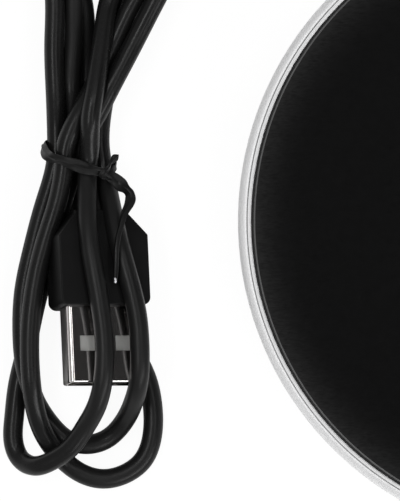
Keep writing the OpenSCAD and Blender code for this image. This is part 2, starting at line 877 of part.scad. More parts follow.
// Moulded boot: inner flange, neck through the walls and a ringed taper outside
module strain_relief() {
    rings = 5;
    color([0.07, 0.07, 0.07])
    difference() {
        translate([0, 0, gland_z])
            rotate([-90, 0, 0])
                rotate_extrude($fn = 64)
                    difference() {
                        polygon([[0, base_in_r - 1.6], [gland_flange_r, base_in_r - 1.6],
                            [gland_flange_r, base_in_r - 0.25],
                            [gland_neck_r, base_in_r - 0.1],
                            [gland_neck_r, body_r + 0.1], [gland_big_r, body_r + 0.1],
                            [gland_big_r, body_r + 1.1],
                            [cord_d / 2 + 0.35, body_r + relief_l],
                            [0, body_r + relief_l]]);
                        for (i = [1:rings])
                            translate([gland_big_r + 0.35 - i * 0.11,
                                body_r + 0.6 + i * relief_l / (rings + 1.4)])
                                circle(r = 0.55, $fn = 24);
                    }
        // flat that stands the flange on the floor of the base
        translate([-body_r, base_in_r - 3, floor_z + thread_gap - body_h])
            cube([body_d, 3, body_h]);
    }
}

// Route of the lead from the strain relief to the hank: place on the plan behind the
// relief's end, and how far it has come down, from 0 at the gland to 1 on the table
lead_route = [[0, 1, 0], [-0.5, 6, 0.3], [-4, 12.5, 0.7], [-11, 16.5, 0.95], [-20, 16.5, 1],
    [-30, 13, 1], [-40, 6.5, 1], [-49, -2, 1], [-56, -11.5, 1]];
lying_z = cord_d / 2 + 0.05;
lead_points = [for (p = lead_route)
    [p[0], p[1] + body_r + relief_l, gland_z + p[2] * (lying_z - gland_z)]];

module cord_lead() {
    color([0.06, 0.06, 0.06])
        tube(concat([[0, body_r + relief_l, gland_z]], smooth_route(lead_points, 3)), cord_d, 8);
}

// Folded hank: a wide lower lobe, the tied waist and the upper lobe
hank_low = [-74.1, -29];
hank_low_r = 12.5;
hank_waist = [-74.6, 9.5];
hank_waist_w = 10.6;
hank_top = [-69, 49];
hank_top_r = 12.4;

// The runs between the two lobes, which start inside them
module hank_runs() {
    low_in = hank_low_r * 0.8;
    top_in = hank_top_r * 0.8;
    polygon([[hank_low[0] - low_in, hank_low[1]], [-85.4, -18],
        [hank_waist[0] - hank_waist_w / 2, hank_waist[1] - 1.5],
        [hank_waist[0] - hank_waist_w / 2, hank_waist[1] + 3],
        [hank_top[0] - hank_top_r + 0.9, hank_top[1] - 5],
        [hank_top[0] - top_in, hank_top[1]],
        [hank_top[0] + top_in, hank_top[1]],
        [hank_top[0] + hank_top_r - 0.9, hank_top[1] - 5],
        [hank_waist[0] + hank_waist_w / 2, hank_waist[1] + 8],
        [hank_waist[0] + hank_waist_w / 2, hank_waist[1] - 3.2],
        [-63.2, -18], [hank_low[0] + low_in, hank_low[1]]]);
}

module cord_hank() {
    color([0.06, 0.06, 0.06])
    difference() {
        union() {
            translate(hank_low)
                cylinder(h = hank_h, r = hank_low_r);
            translate(hank_top)
                cylinder(h = hank_h, r = hank_top_r);
            linear_extrude(height = hank_h)
                hank_runs();
        }
        tie_frame(tie_w, tie_t);
    }
}

// ---- twist tie -----------------------------------------------------------

tie_turn = -16;
tie_w = 1.4;
tie_t = 0.5;

module tie_frame(w, t) {
    span = hank_waist_w / cos(tie_turn) + 0.2;
    translate([hank_waist[0], hank_waist[1], 0])
        rotate([0, 0, tie_turn])
            difference() {
                translate([-span / 2 - t, -w / 2, 0])
                    cube([span + 2 * t, w, hank_h + t]);
                translate([-span / 2, -w, t])
                    cube([span, 2 * w, hank_h - t]);
            }
}

// Ribbon round the waist with its twisted end and loose tail
module twist_tie() {
    tail = [[-68.9, 7.5, 9.6], [-67.6, 5.6, 9.8], [-66.8, 3.6, 10.2], [-67, 1.5, 11]];
    color([0.05, 0.05, 0.05]) {
        tie_frame(tie_w, tie_t);
        translate([-70.1, 8, hank_h + tie_t - 0.05])
            cylinder(h = 1.3, r = 1.1, $fn = 24);
        tube(smooth_route(concat([[-70.1, 8.1, 9.9]], tail), 3), 1.1, 6);
    }
}

// ---- USB plug ------------------------------------------------------------

plug_at = [-72.05, -2.65, 6.3];
plug_yaw = 2.6;
plug_pitch = -8;
plug_roll = 18;
neck_l = 2.8;
corner_r = 1;        // along the grip's long edges
mouth_r = 1.6;       // at the grip's corners beside the shell, on the plan
shell_r = 0.75;

// Puts the plug where it lies: origin at the back of the grip, mouth towards -Y
module plug_place() {
    translate(plug_at)
        rotate([0, 0, plug_yaw])
            rotate([plug_pitch, 0, 0])
                rotate([0, plug_roll, 0])
                    children();
}

// A rounded bar, w by h, from y0 down to y1
module round_bar(w, h, r, y0, y1) {
    translate([0, y0, 0])
        rotate([90, 0, 0])
            linear_extrude(height = y0 - y1)
                union() {
                    square([w - 2 * r, h], center = true);
                    square([w, h - 2 * r], center = true);
                    for (sx = [-1, 1], sy = [-1, 1])
                        translate([sx * (w / 2 - r), sy * (h / 2 - r)])
                            circle(r = r, $fn = 32);
                }
}

// Moulded grip with sloped shoulders and a square neck
module plug_grip() {
    color([0.09, 0.09, 0.09])
    plug_place()
        difference() {
            union() {
                intersection() {
                    round_bar(grip_w, grip_h, corner_r, 0, -grip_l - 1);
                    linear_extrude(height = 2 * grip_h, center = true)
                        grip_outline();
                }
                hull() {
                    round_bar(grip_w, grip_h, corner_r, 0, -0.3);
                    round_bar(neck_w, grip_h - 1.6, corner_r, neck_l, neck_l - 0.2);
                }
            }
            round_bar(shell_w + 0.04, shell_h + 0.04, shell_r + 0.02, -grip_l + 4, -grip_l - 1);
        }
}

// Plan of the grip's straight part, a little wider than it, with rounded mouth corners
module grip_outline() {
    half = grip_w / 2 + 0.1;
    translate([-half, -grip_l + mouth_r])
        square([2 * half, grip_l + 1 - mouth_r]);
    translate([-half + mouth_r, -grip_l])
        square([2 * (half - mouth_r), grip_l]);
    for (s = [-1, 1])
        translate([s * (half - mouth_r), -grip_l + mouth_r])
            circle(r = mouth_r, $fn = 48);
}

win_w = 2.5;
win_l = 2.4;
win_x = 2.9;
win_front = 4.95;

// Folded sheet shell with two latch windows on each flat and a slight lip at the mouth
module plug_shell() {
    y0 = -grip_l + 4;
    y1 = -grip_l - shell_l;
    color([0.75, 0.75, 0.77])
    plug_place()
        difference() {
            round_bar(shell_w, shell_h, shell_r, y0, y1);
            round_bar(shell_w - 2 * shell_sheet, shell_h - 2 * shell_sheet,
                shell_r - shell_sheet, y0 + 1, y1 - 1);
            for (s = [-1, 1])
                translate([s * win_x - win_w / 2, y1 + win_front, -shell_h])
                    cube([win_w, win_l, 2 * shell_h]);
        }
}

tongue_h = 1.8;

// Insulating tongue on its plug body, in the half of the shell behind the windows
module plug_tongue() {
    y0 = -grip_l + 4;
    y1 = -grip_l - shell_l + 0.6;
    tongue_w = shell_w - 2 * shell_r - 0.1;
    inner_h = shell_h - 2 * shell_sheet;
    color([0.92, 0.92, 0.9])
    plug_place()
        difference() {
            union() {
                translate([-tongue_w / 2, y1, inner_h / 2 - tongue_h])
                    cube([tongue_w, y0 - y1, tongue_h]);
                translate([-tongue_w / 2, y0 - 5, -inner_h / 2])
                    cube([tongue_w, 5, inner_h]);
            }
            for (i = [0:3])
                translate([contact_x(i) - 0.55, y1 + 0.6, inner_h / 2 - tongue_h - 0.75])
                    cube([1.1, 8.6, 1]);
        }
}

function contact_x(i) = -3.5 + (i == 0 ? 0 : i == 1 ? 2.5 : i == 2 ? 4.5 : 7);

// Four contact strips, the outer pair longer than the inner pair
module plug_contacts() {
    y1 = -grip_l - shell_l + 0.6;
    inner_h = shell_h - 2 * shell_sheet;
    color([0.85, 0.65, 0.3])
    plug_place()
        for (i = [0:3]) {
            front = i == 0 || i == 3 ? 0.7 : 1.7;
            translate([contact_x(i) - 0.5, y1 + front, inner_h / 2 - tongue_h])
                cube([1, 9.1 - front, 0.25]);
        }
}

trim_ring();
heating_plate();
plate_gasket();
heat_spreader();
heating_film();
heater_track();
insulation_pad();
heat_shield();
shield_screws();
inner_frame();
base_cover();
base_screws();
rubber_feet();
button_cap();
switch_plunger();
switch_body();
control_board();
board_parts();
board_screws();
status_led();
light_pipe();
thermistor();
thermal_fuse();
heater_wires();
power_wires();
sensor_wires();
cord_entry();
cord_clamp();
clamp_screws();
strain_relief();
cord_lead();
cord_hank();
twist_tie();
plug_grip();
plug_shell();
plug_tongue();
plug_contacts();
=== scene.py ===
# Round mug warmer with its folded USB lead, seen from straight above
import json
import math

import bmesh
import bpy
import numpy as np
from mathutils import Matrix, Vector

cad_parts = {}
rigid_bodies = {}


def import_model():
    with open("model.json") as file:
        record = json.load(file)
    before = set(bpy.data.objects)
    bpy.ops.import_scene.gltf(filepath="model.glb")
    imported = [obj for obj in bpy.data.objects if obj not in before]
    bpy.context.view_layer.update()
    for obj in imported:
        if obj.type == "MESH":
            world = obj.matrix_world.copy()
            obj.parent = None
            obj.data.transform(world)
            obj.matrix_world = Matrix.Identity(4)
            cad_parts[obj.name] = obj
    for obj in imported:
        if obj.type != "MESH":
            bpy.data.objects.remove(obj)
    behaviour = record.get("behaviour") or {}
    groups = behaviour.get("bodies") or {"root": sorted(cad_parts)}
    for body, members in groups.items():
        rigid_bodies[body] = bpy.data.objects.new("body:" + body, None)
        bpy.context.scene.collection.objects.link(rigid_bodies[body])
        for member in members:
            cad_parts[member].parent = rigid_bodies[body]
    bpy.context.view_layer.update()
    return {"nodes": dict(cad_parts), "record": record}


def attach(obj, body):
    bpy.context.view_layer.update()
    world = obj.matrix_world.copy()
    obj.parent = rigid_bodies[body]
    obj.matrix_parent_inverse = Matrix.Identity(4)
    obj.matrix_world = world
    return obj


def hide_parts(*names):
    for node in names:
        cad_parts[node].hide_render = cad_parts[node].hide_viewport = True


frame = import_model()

nodes = frame["nodes"]
mm = 0.001
homeBody = "housing"
samePlace = 0.01 * mm       # points nearer than this are one point
square = 0.99               # cosine past which an edge or a face is square to an axis


def deselectAll():
    for thing in bpy.context.view_layer.objects:
        thing.select_set(False)


def selectOnly(piece):
    deselectAll()
    piece.select_set(True)
    bpy.context.view_layer.objects.active = piece


def inMetres(points):
    return [Vector(p) * mm for p in points]


def applyModifier(piece, kind, **settings):
    selectOnly(piece)
    made = piece.modifiers.new(kind.lower(), kind)
    for name, value in settings.items():
        setattr(made, name, value)
    bpy.ops.object.modifier_apply(modifier=made.name)


# The camera looks straight down from far away, so that the disc shows almost no side
camera = {
    "height": 2000,         # above the plate, mm
    "aimAt": (-55.92, -4.59, 14),
    "frameHigh": 501,       # picture height in pixels
    "pixelsPerMm": 6.434,
    "sensor": 36,
    "clipNear": 0.05,       # m
}


def placeCamera(c):
    x, y, z = c["aimAt"]
    bpy.ops.object.camera_add(location=(x * mm, y * mm, (z + c["height"]) * mm), rotation=(0, 0, 0))
    cam = bpy.context.object
    cam.name = "topCamera"
    cam.data.sensor_width = c["sensor"]
    cam.data.sensor_fit = "AUTO"
    cam.data.lens = c["sensor"] * c["height"] * c["pixelsPerMm"] / c["frameHigh"]
    cam.data.clip_start = c["clipNear"]
    bpy.context.scene.camera = cam
    print("camera: lens", round(cam.data.lens), "mm")


placeCamera(camera)


class Shade:  # wraps one socket, so sums on it become Math nodes
    def __init__(self, tree, socket=None):
        self.tree = tree
        self.socket = socket

    def node(self, kind, settings, sockets, out=0):
        made = self.tree.nodes.new("ShaderNode" + kind)
        for name, value in settings.items():
            if name == "stops":
                self.setStops(made.color_ramp, value)
            else:
                setattr(made, name, value)
        for name, value in sockets.items():
            self.feed(made.inputs[name], value)
        return Shade(self.tree, made.outputs[out])

    def setStops(self, ramp, stops):
        while len(ramp.elements) < len(stops):
            ramp.elements.new(0.5)
        for element, (place, level) in zip(ramp.elements, stops):
            element.position = place
            element.color = grey(level)

    def feed(self, target, value):
        if isinstance(value, Shade):
            self.tree.links.new(value.socket, target)
        else:
            target.default_value = value

    def maths(self, operation, a, b=0.0):
        return self.node("Math", {"operation": operation}, {0: a, 1: b})

    def held(self):  # between 0 and 1
        return self.maths("MINIMUM", self.maths("MAXIMUM", self, 0.0), 1.0)

    def sway(self, amount):  # a noise's swing about its middle, so that a mean level stays as set
        return (self - 0.5) * amount

    def __add__(self, other):
        return self.maths("ADD", self, other)

    def __radd__(self, other):
        return self.maths("ADD", other, self)

    def __sub__(self, other):
        return self.maths("SUBTRACT", self, other)

    def __rsub__(self, other):
        return self.maths("SUBTRACT", other, self)

    def __mul__(self, other):
        return self.maths("MULTIPLY", self, other)

    def __rmul__(self, other):
        return self.maths("MULTIPLY", other, self)

    def __truediv__(self, other):
        return self.maths("DIVIDE", self, other)

    def __rtruediv__(self, other):
        return self.maths("DIVIDE", other, self)

    def __pow__(self, other):
        return self.maths("POWER", self, other)

    def __rpow__(self, other):
        return self.maths("POWER", other, self)

    def __gt__(self, other):
        return self.maths("GREATER_THAN", self, other)

    def __lt__(self, other):  # also what a number > mask comes to
        return self.maths("LESS_THAN", self, other)


def rgb(r, g, b):
    return (r, g, b, 1)


def grey(level, blue=1.0):
    return rgb(level, level, level * blue)


def dulled(tone, share):
    return rgb(*[share * c for c in tone])


mixColours = {"factor": 0, "a": 6, "b": 7, "out": 2}  # the Mix node's sockets when it mixes colours


class Finish:  # one Principled material and the few textures that the finishes share
    def __init__(self, name, plain):
        self.material = bpy.data.materials.new(name)
        self.material.use_nodes = True
        tree = self.material.node_tree
        self.surface = tree.nodes["Principled BSDF"]
        self.shade = Shade(tree)
        self.place = self.shade.node("TexCoord", {}, {}, "Object")
        for socket, value in plain.items():
            self.surface.inputs[socket].default_value = value

    def noise(self, size, detail, stretch=(1, 1, 1)):  # size in mm
        where = self.place
        if stretch != (1, 1, 1):
            where = self.shade.node("Mapping", {}, {"Vector": where, "Scale": stretch})
        return self.shade.node("TexNoise", {}, {
            "Vector": where, "Scale": 1 / (size * mm), "Detail": detail})

    def axis(self, letter):
        return self.shade.node("SeparateXYZ", {}, {"Vector": self.place}, letter)

    def fromAxis(self):  # distance from the disc's axis, in metres
        x, y = self.axis("X"), self.axis("Y")
        return self.shade.maths("SQRT", x * x + y * y)

    def fade(self, letter, start, end):  # from 0 to 1 along an axis, in mm
        return self.shade.node("MapRange", {"interpolation_type": "SMOOTHSTEP"}, {
            "Value": self.axis(letter), "From Min": start * mm, "From Max": end * mm})

    def ramp(self, value, stops):
        return self.shade.node("ValToRGB", {"stops": stops}, {"Fac": value})

    def mix(self, factor, a, b, way="MIX"):
        m = mixColours
        return self.shade.node("Mix", {"data_type": "RGBA", "blend_type": way}, {
            m["factor"]: factor, m["a"]: a, m["b"]: b}, m["out"])

    def tint(self, a, b):  # one colour through the other
        return self.mix(1.0, a, b, "MULTIPLY")

    def use(self, socket, value):
        self.shade.feed(self.surface.inputs[socket], value)

    def bump(self, height, strength, distance):  # distance in mm
        self.use("Normal", self.shade.node("Bump", {}, {
            "Height": height, "Strength": strength, "Distance": distance * mm}))


# Finishes: dark and light or low and high are the two ends of a colour, shine is the specular
# level, rough is the mean roughness, and depth is how deep a bump is in mm
mouldings = {
    "silicone_black": dict(dark=0.010, light=0.018, rough=0.62, grain=0.25, depth=0.010),
    "frame_plastic": dict(dark=0.030, light=0.042, rough=0.55, grain=0.30, depth=0.012),
    "base_plastic": dict(dark=0.020, light=0.030, rough=0.50, grain=0.30, depth=0.014),
    "button_plastic": dict(dark=0.034, light=0.046, rough=0.42, grain=0.20, depth=0.006),
    "chip_black": dict(dark=0.024, light=0.036, rough=0.55, grain=0.20, depth=0.006),
    "clamp_plastic": dict(dark=0.042, light=0.056, rough=0.50, grain=0.30, depth=0.010),
    "relief_black": dict(dark=0.014, light=0.022, rough=0.48, grain=0.22, depth=0.010),
    "grip_black": dict(dark=0.003, light=0.006, rough=0.50, grain=0.22, depth=0.012, shine=0.12),
    "bead_black": dict(dark=0.040, light=0.060, rough=0.20, grain=0.60, depth=0.010),
}

mouldedSkin = {             # what all the mouldings share
    "shine": 0.5,
    "blue": 1.02,           # the light end of the colour is a touch blue
    "cloud": 6,             # size of the slow changes, mm
    "cloudRough": 0.1,      # how far they change the roughness, here and below
    "grainRough": 0.2,
    "bump": 0.5,
}


def moulded(name, look):
    s = mouldedSkin
    f = Finish(name, {"Specular IOR Level": look.get("shine", s["shine"])})
    cloud = f.noise(s["cloud"], detail=3)
    grain = f.noise(look["grain"], detail=2)
    f.use("Base Color", f.mix(cloud, grey(look["dark"]), grey(look["light"], s["blue"])))
    f.use("Roughness", look["rough"] + grain.sway(s["grainRough"]) + cloud.sway(s["cloudRough"]))
    f.bump(grain, s["bump"], look["depth"])
    return f.material


metals = {
    "spreader_aluminium": dict(colour=(0.72, 0.73, 0.75), rough=0.38, drawn=(1, 14, 1), depth=0.004),
    "shield_sheet": dict(colour=(0.60, 0.61, 0.62), rough=0.34, drawn=(12, 1, 1), depth=0.004),
    "screw_steel": dict(colour=(0.52, 0.52, 0.54), rough=0.30, drawn=(1, 1, 1), depth=0.003),
    "switch_metal": dict(colour=(0.60, 0.60, 0.57), rough=0.32, drawn=(10, 1, 1), depth=0.003),
    "fuse_body": dict(colour=(0.68, 0.64, 0.50), rough=0.30, drawn=(1, 8, 8), depth=0.003),
    "copper_track": dict(colour=(0.80, 0.43, 0.27), rough=0.36, drawn=(1, 1, 1), depth=0.003),
    "contact_gold": dict(colour=(0.86, 0.62, 0.26), rough=0.24, drawn=(10, 1, 10), depth=0.002),
}

metalSkin = {               # what all the metals share
    "lines": 0.35,          # length of the drawn lines, mm
    "linesRough": 0.14,
    "smear": 4,             # size of the duller patches, mm
    "smearRough": 0.08,
    "dull": 0.9,            # their share of the full colour
    "bump": 0.4,
}


def metal(name, look):
    s = metalSkin
    f = Finish(name, {"Metallic": 1.0})
    lines = f.noise(s["lines"], detail=3, stretch=look["drawn"])
    smear = f.noise(s["smear"], detail=2)
    f.use("Base Color", f.mix(smear, dulled(look["colour"], s["dull"]), rgb(*look["colour"])))
    f.use("Roughness", look["rough"] + lines.sway(s["linesRough"]) + smear.sway(s["smearRough"]))
    f.bump(lines, s["bump"], look["depth"])
    return f.material


coloured = {
    "film_amber": dict(low=(0.42, 0.17, 0.02), high=(0.62, 0.29, 0.05), rough=0.22),
    "board_green": dict(low=(0.010, 0.090, 0.040), high=(0.018, 0.140, 0.060), rough=0.25),
    "led_white": dict(low=(0.78, 0.80, 0.80), high=(0.88, 0.90, 0.92), rough=0.18),
    "wire_red": dict(low=(0.45, 0.02, 0.014), high=(0.58, 0.035, 0.02), rough=0.38),
    "wire_yellow": dict(low=(0.66, 0.50, 0.05), high=(0.80, 0.64, 0.10), rough=0.38),
    # the white tongue is painted mid grey, as painted shade for its place deep inside the shell
    "tongue_white": dict(low=(0.33, 0.33, 0.32), high=(0.40, 0.40, 0.385), rough=0.45),
}

colouredSkin = {            # what all the coloured plastics share
    "cloud": 3,             # size of the slow changes, mm
    "cloudRough": 0.12,
    "grain": 0.5,
    "bump": 0.3,
    "depth": 0.004,
}


def tinted(name, look):
    s = colouredSkin
    f = Finish(name, {})
    cloud = f.noise(s["cloud"], detail=3)
    f.use("Base Color", f.mix(cloud, rgb(*look["low"]), rgb(*look["high"])))
    f.use("Roughness", look["rough"] + cloud.sway(s["cloudRough"]))
    f.bump(f.noise(s["grain"], detail=2), s["bump"], s["depth"])
    return f.material


ring = {
    "metallic": 0.25,
    "rough": 0.50,
    "blast": 0.30,          # grain of the blasted face, mm
    "blastRough": 0.2,
    "drift": 9,             # size of the slow changes, mm
    "driftRough": 0.08,
    "worn": (0.78, 0.78, 0.79),   # tint of the low spots in the grain
    "bump": 0.4,
    "depth": 0.006,
    "from": 47.9,           # the painted light and shade below runs over this span of radius, mm
    "to": 50.1,
    "paintedShading": [              # radius in mm, then grey: painted light and shade, with bright turned edges as painted highlights, a dark groove as painted shade and a lighter shoulder
        (47.95, 1.0), (48.18, 1.0), (48.24, 0.95), (48.29, 0.70), (48.34, 0.70), (48.39, 0.92),
        (48.50, 0.90), (48.54, 0.42), (48.68, 0.42), (48.74, 0.92), (48.92, 0.92),
        (49.04, 0.80), (49.50, 0.95), (49.8, 1.0), (50.0, 1.0),
    ],
}


def ringAluminium(look):
    f = Finish("ring_aluminium", {"Metallic": look["metallic"]})
    grain = f.noise(look["blast"], detail=3)
    drift = f.noise(look["drift"], detail=3)
    start = look["from"] * mm
    span = look["to"] * mm - start
    across = (f.fromAxis() - start) / span
    # painted light and shade, set by the radius across the ring
    tone = f.ramp(across, [((r * mm - start) / span, level) for r, level in look["paintedShading"]])
    f.use("Base Color", f.tint(tone, f.mix(grain, rgb(*look["worn"]), grey(1))))
    f.use("Roughness", look["rough"] + grain.sway(look["blastRough"]) + drift.sway(look["driftRough"]))
    f.bump(grain, look["bump"], look["depth"])
    return f.material


plate = {
    "shine": 0.06,
    "dark": 0.0010,
    "light": 0.0030,
    "blue": 1.04,
    "rimSheen": 0.0160,          # painted sheen: the colour grows paler towards the edge, to this
    "bevelHighlight": 0.125,        # the bevel, painted paler as a highlight along the plate's edge
    "bevelFrom": 47.34,     # radius, mm
    "fadeFrom": 37,         # the painted sheen runs over this span of radius, mm
    "fadeTo": 47.4,
    "fade": 4.0,            # how late it comes
    "rough": 0.40,
    "rub": 0.9,             # length of the fine wiping lines, mm
    "rubStretch": (1, 4, 1),
    "rubRough": 0.22,
    "mottle": 1.6,          # size of the uneven spots, mm
    "mottleRough": 0.10,
    "toneShares": (0.5, 0.5),     # of wiping lines and mottle
    "rimShares": (2, 0.5),
    "rimLess": 0.25,        # taken off, so that the painted sheen comes in streaks
    "bumpShares": (0.6, 0.4),
    "bump": 0.35,
    "depth": 0.006,
}


def blackGlass(look):
    f = Finish("black_glass", {"Specular IOR Level": look["shine"]})
    rub = f.noise(look["rub"], detail=3, stretch=look["rubStretch"])
    mottle = f.noise(look["mottle"], detail=4)

    def worked(shares):
        return rub * shares[0] + mottle * shares[1]

    r = f.fromAxis()
    start = look["fadeFrom"] * mm
    # painted sheen: paler towards the rim, in streaks where the wiping lines and mottle are strong
    thin = ((r - start) / (look["fadeTo"] * mm - start)).held() ** look["fade"]
    face = f.mix(worked(look["toneShares"]), grey(look["dark"]), grey(look["light"], look["blue"]))
    face = f.mix(thin * (worked(look["rimShares"]) - look["rimLess"]), face, grey(look["rimSheen"]))
    # the bevel takes its painted highlight
    f.use("Base Color", f.mix(r > look["bevelFrom"] * mm, face, grey(look["bevelHighlight"])))
    f.use("Roughness", look["rough"] + rub.sway(look["rubRough"]) + mottle.sway(look["mottleRough"]))
    f.bump(worked(look["bumpShares"]), look["bump"], look["depth"])
    return f.material


jacket = {
    "shine": 0.20,
    "dark": 0.007,
    "light": 0.011,
    "rough": 0.27,
    "rubbed": 0.09,         # added over the plug, where it is handled, with the span below in mm
    "rubbedX": (-77.5, -74),
    "rubbedY": (9, 4),
    "matt": 0.22,           # added on the fold that lies deep in the bundle, where the colour also goes to its dark end as painted shade
    "mattX": ((-77.4, -77.0), (-72.6, -73.4)),
    "mattY": (20, 23),
    "cloud": 7,             # size of the slow changes, mm
    "cloudRough": 0.30,
    "wave": 4,              # size of the soft waves of its skin, mm
    "grain": 0.5,
    "grainRough": 0.14,
    "grainBump": 0.15,      # share of the grain in the bump
    "bump": 0.8,
    "depth": 0.05,
}


def cordJacket(look):
    f = Finish("jacket_black", {"Specular IOR Level": look["shine"]})
    cloud = f.noise(look["cloud"], detail=2)
    wave = f.noise(look["wave"], detail=1)
    grain = f.noise(look["grain"], detail=3)
    rubbed = f.fade("X", *look["rubbedX"]) * f.fade("Y", *look["rubbedY"])
    left, right = look["mattX"]
    matt = f.fade("X", *left) * f.fade("X", *right) * f.fade("Y", *look["mattY"])
    # painted shade: the deep fold takes the dark end of the colour
    f.use("Base Color", f.mix(cloud * (1 - matt), grey(look["dark"]), grey(look["light"])))
    f.use("Roughness", look["rough"] + rubbed * look["rubbed"] + matt * look["matt"]
          + grain.sway(look["grainRough"]) + cloud.sway(look["cloudRough"]))
    f.bump(wave + grain * look["grainBump"], look["bump"], look["depth"])
    return f.material


cores = {                   # two cores in one node, told apart by their side of the middle
    "left": (0.45, 0.02, 0.014),
    "right": (0.014, 0.014, 0.014),
    "rough": 0.38,
    "grain": 0.5,
    "bump": 0.3,
    "depth": 0.004,
}


def powerCores(look):
    f = Finish("wire_power", {"Roughness": look["rough"]})
    f.use("Base Color", f.mix(f.axis("X") > 0, rgb(*look["left"]), rgb(*look["right"])))
    f.bump(f.noise(look["grain"], detail=2), look["bump"], look["depth"])
    return f.material


fibre = {
    "shine": 0.2,
    "low": (0.70, 0.66, 0.58),
    "high": (0.84, 0.81, 0.74),
    "rough": 0.85,
    "strands": 0.5,         # length, mm
    "strandsLie": (3, 1, 1),
    "strandsRough": 0.2,
    "clump": 3,             # size of the paler clumps, mm
    "bump": 0.8,
    "depth": 0.08,
}


def pressedFibre(look):
    f = Finish("pad_fibre", {"Specular IOR Level": look["shine"]})
    strands = f.noise(look["strands"], detail=4, stretch=look["strandsLie"])
    clump = f.noise(look["clump"], detail=3)
    f.use("Base Color", f.mix(clump, rgb(*look["low"]), rgb(*look["high"])))
    f.use("Roughness", look["rough"] + strands.sway(look["strandsRough"]))
    f.bump(strands, look["bump"], look["depth"])
    return f.material


rod = {
    "bend": 1.49,           # refraction
    "alpha": 0.5,
    "low": (0.80, 0.86, 0.90),
    "high": (0.90, 0.94, 0.97),
    "rough": 0.12,
    "haze": 1.5,            # size of its cloudy spots, mm
    "hazeRough": 0.1,
}


def clearRod(look):
    f = Finish("pipe_clear", {"IOR": look["bend"], "Alpha": look["alpha"]})
    haze = f.noise(look["haze"], detail=3)
    f.use("Base Color", f.mix(haze, rgb(*look["low"]), rgb(*look["high"])))
    f.use("Roughness", look["rough"] + haze * look["hazeRough"])
    return f.material


shell = {
    "metal": (0.78, 0.75, 0.74),
    "dull": 0.9,
    "rough": 0.10,
    "side": 0.25,           # added on the side wall, whose place is given in mm
    "sideX": (-76.25, -76.6),
    "rolled": 0.3,          # length of the rolling lines, mm
    "rolledLie": (12, 1, 12),
    "rolledRough": 0.06,
    "breath": 3,            # size of the duller patches, mm
    "breathRough": 0.04,
    "bump": 0.25,
    "depth": 0.0004,
}


def platedShell(look):
    f = Finish("shell_steel", {"Metallic": 1.0})
    rolled = f.noise(look["rolled"], detail=3, stretch=look["rolledLie"])
    breath = f.noise(look["breath"], detail=3)
    f.use("Base Color", f.mix(breath, dulled(look["metal"], look["dull"]), rgb(*look["metal"])))
    side = f.fade("X", *look["sideX"]) * look["side"]
    f.use("Roughness", look["rough"] + side + rolled.sway(look["rolledRough"])
          + breath.sway(look["breathRough"]))
    f.bump(rolled, look["bump"], look["depth"])
    return f.material


ribbon = {
    "shine": 0.22,
    "dark": 0.003,
    "light": 0.009,
    "rough": 0.40,
    "cloud": 1.2,
    "cloudRough": 0.2,
    "grain": 0.3,
    "bump": 0.4,
    "depth": 0.01,
}


def tieRibbon(look):
    f = Finish("tie_black", {"Specular IOR Level": look["shine"]})
    cloud = f.noise(look["cloud"], detail=3)
    f.use("Base Color", f.mix(cloud, grey(look["dark"]), grey(look["light"])))
    f.use("Roughness", look["rough"] + cloud.sway(look["cloudRough"]))
    f.bump(f.noise(look["grain"], detail=2), look["bump"], look["depth"])
    return f.material


finishes = {
    "ring_aluminium": ringAluminium(ring),
    "black_glass": blackGlass(plate),
    "jacket_black": cordJacket(jacket),
    "wire_power": powerCores(cores),
    "pad_fibre": pressedFibre(fibre),
    "pipe_clear": clearRod(rod),
    "shell_steel": platedShell(shell),
    "tie_black": tieRibbon(ribbon),
}
for make, group in ((moulded, mouldings), (metal, metals), (tinted, coloured)):
    for name, look in group.items():
        finishes[name] = make(name, look)

for part in frame["record"]["subparts"]:
    for slot in nodes[part["node"]].material_slots:
        slot.material = finishes[part["material_slot"]]
print("finishes:", len(finishes))

# Where the lead runs, in mm: out of the strain relief and round the back to the hank
leadRoute = [
    (0, 62, 4.4), (-0.5, 68, 3.6), (-4, 74.5, 2.5), (-11, 78.5, 1.75), (-20, 78.5, 1.6),
    (-30, 75, 1.6), (-40, 68.5, 1.6), (-49, 60, 1.6), (-56, 50.5, 1.6),
]

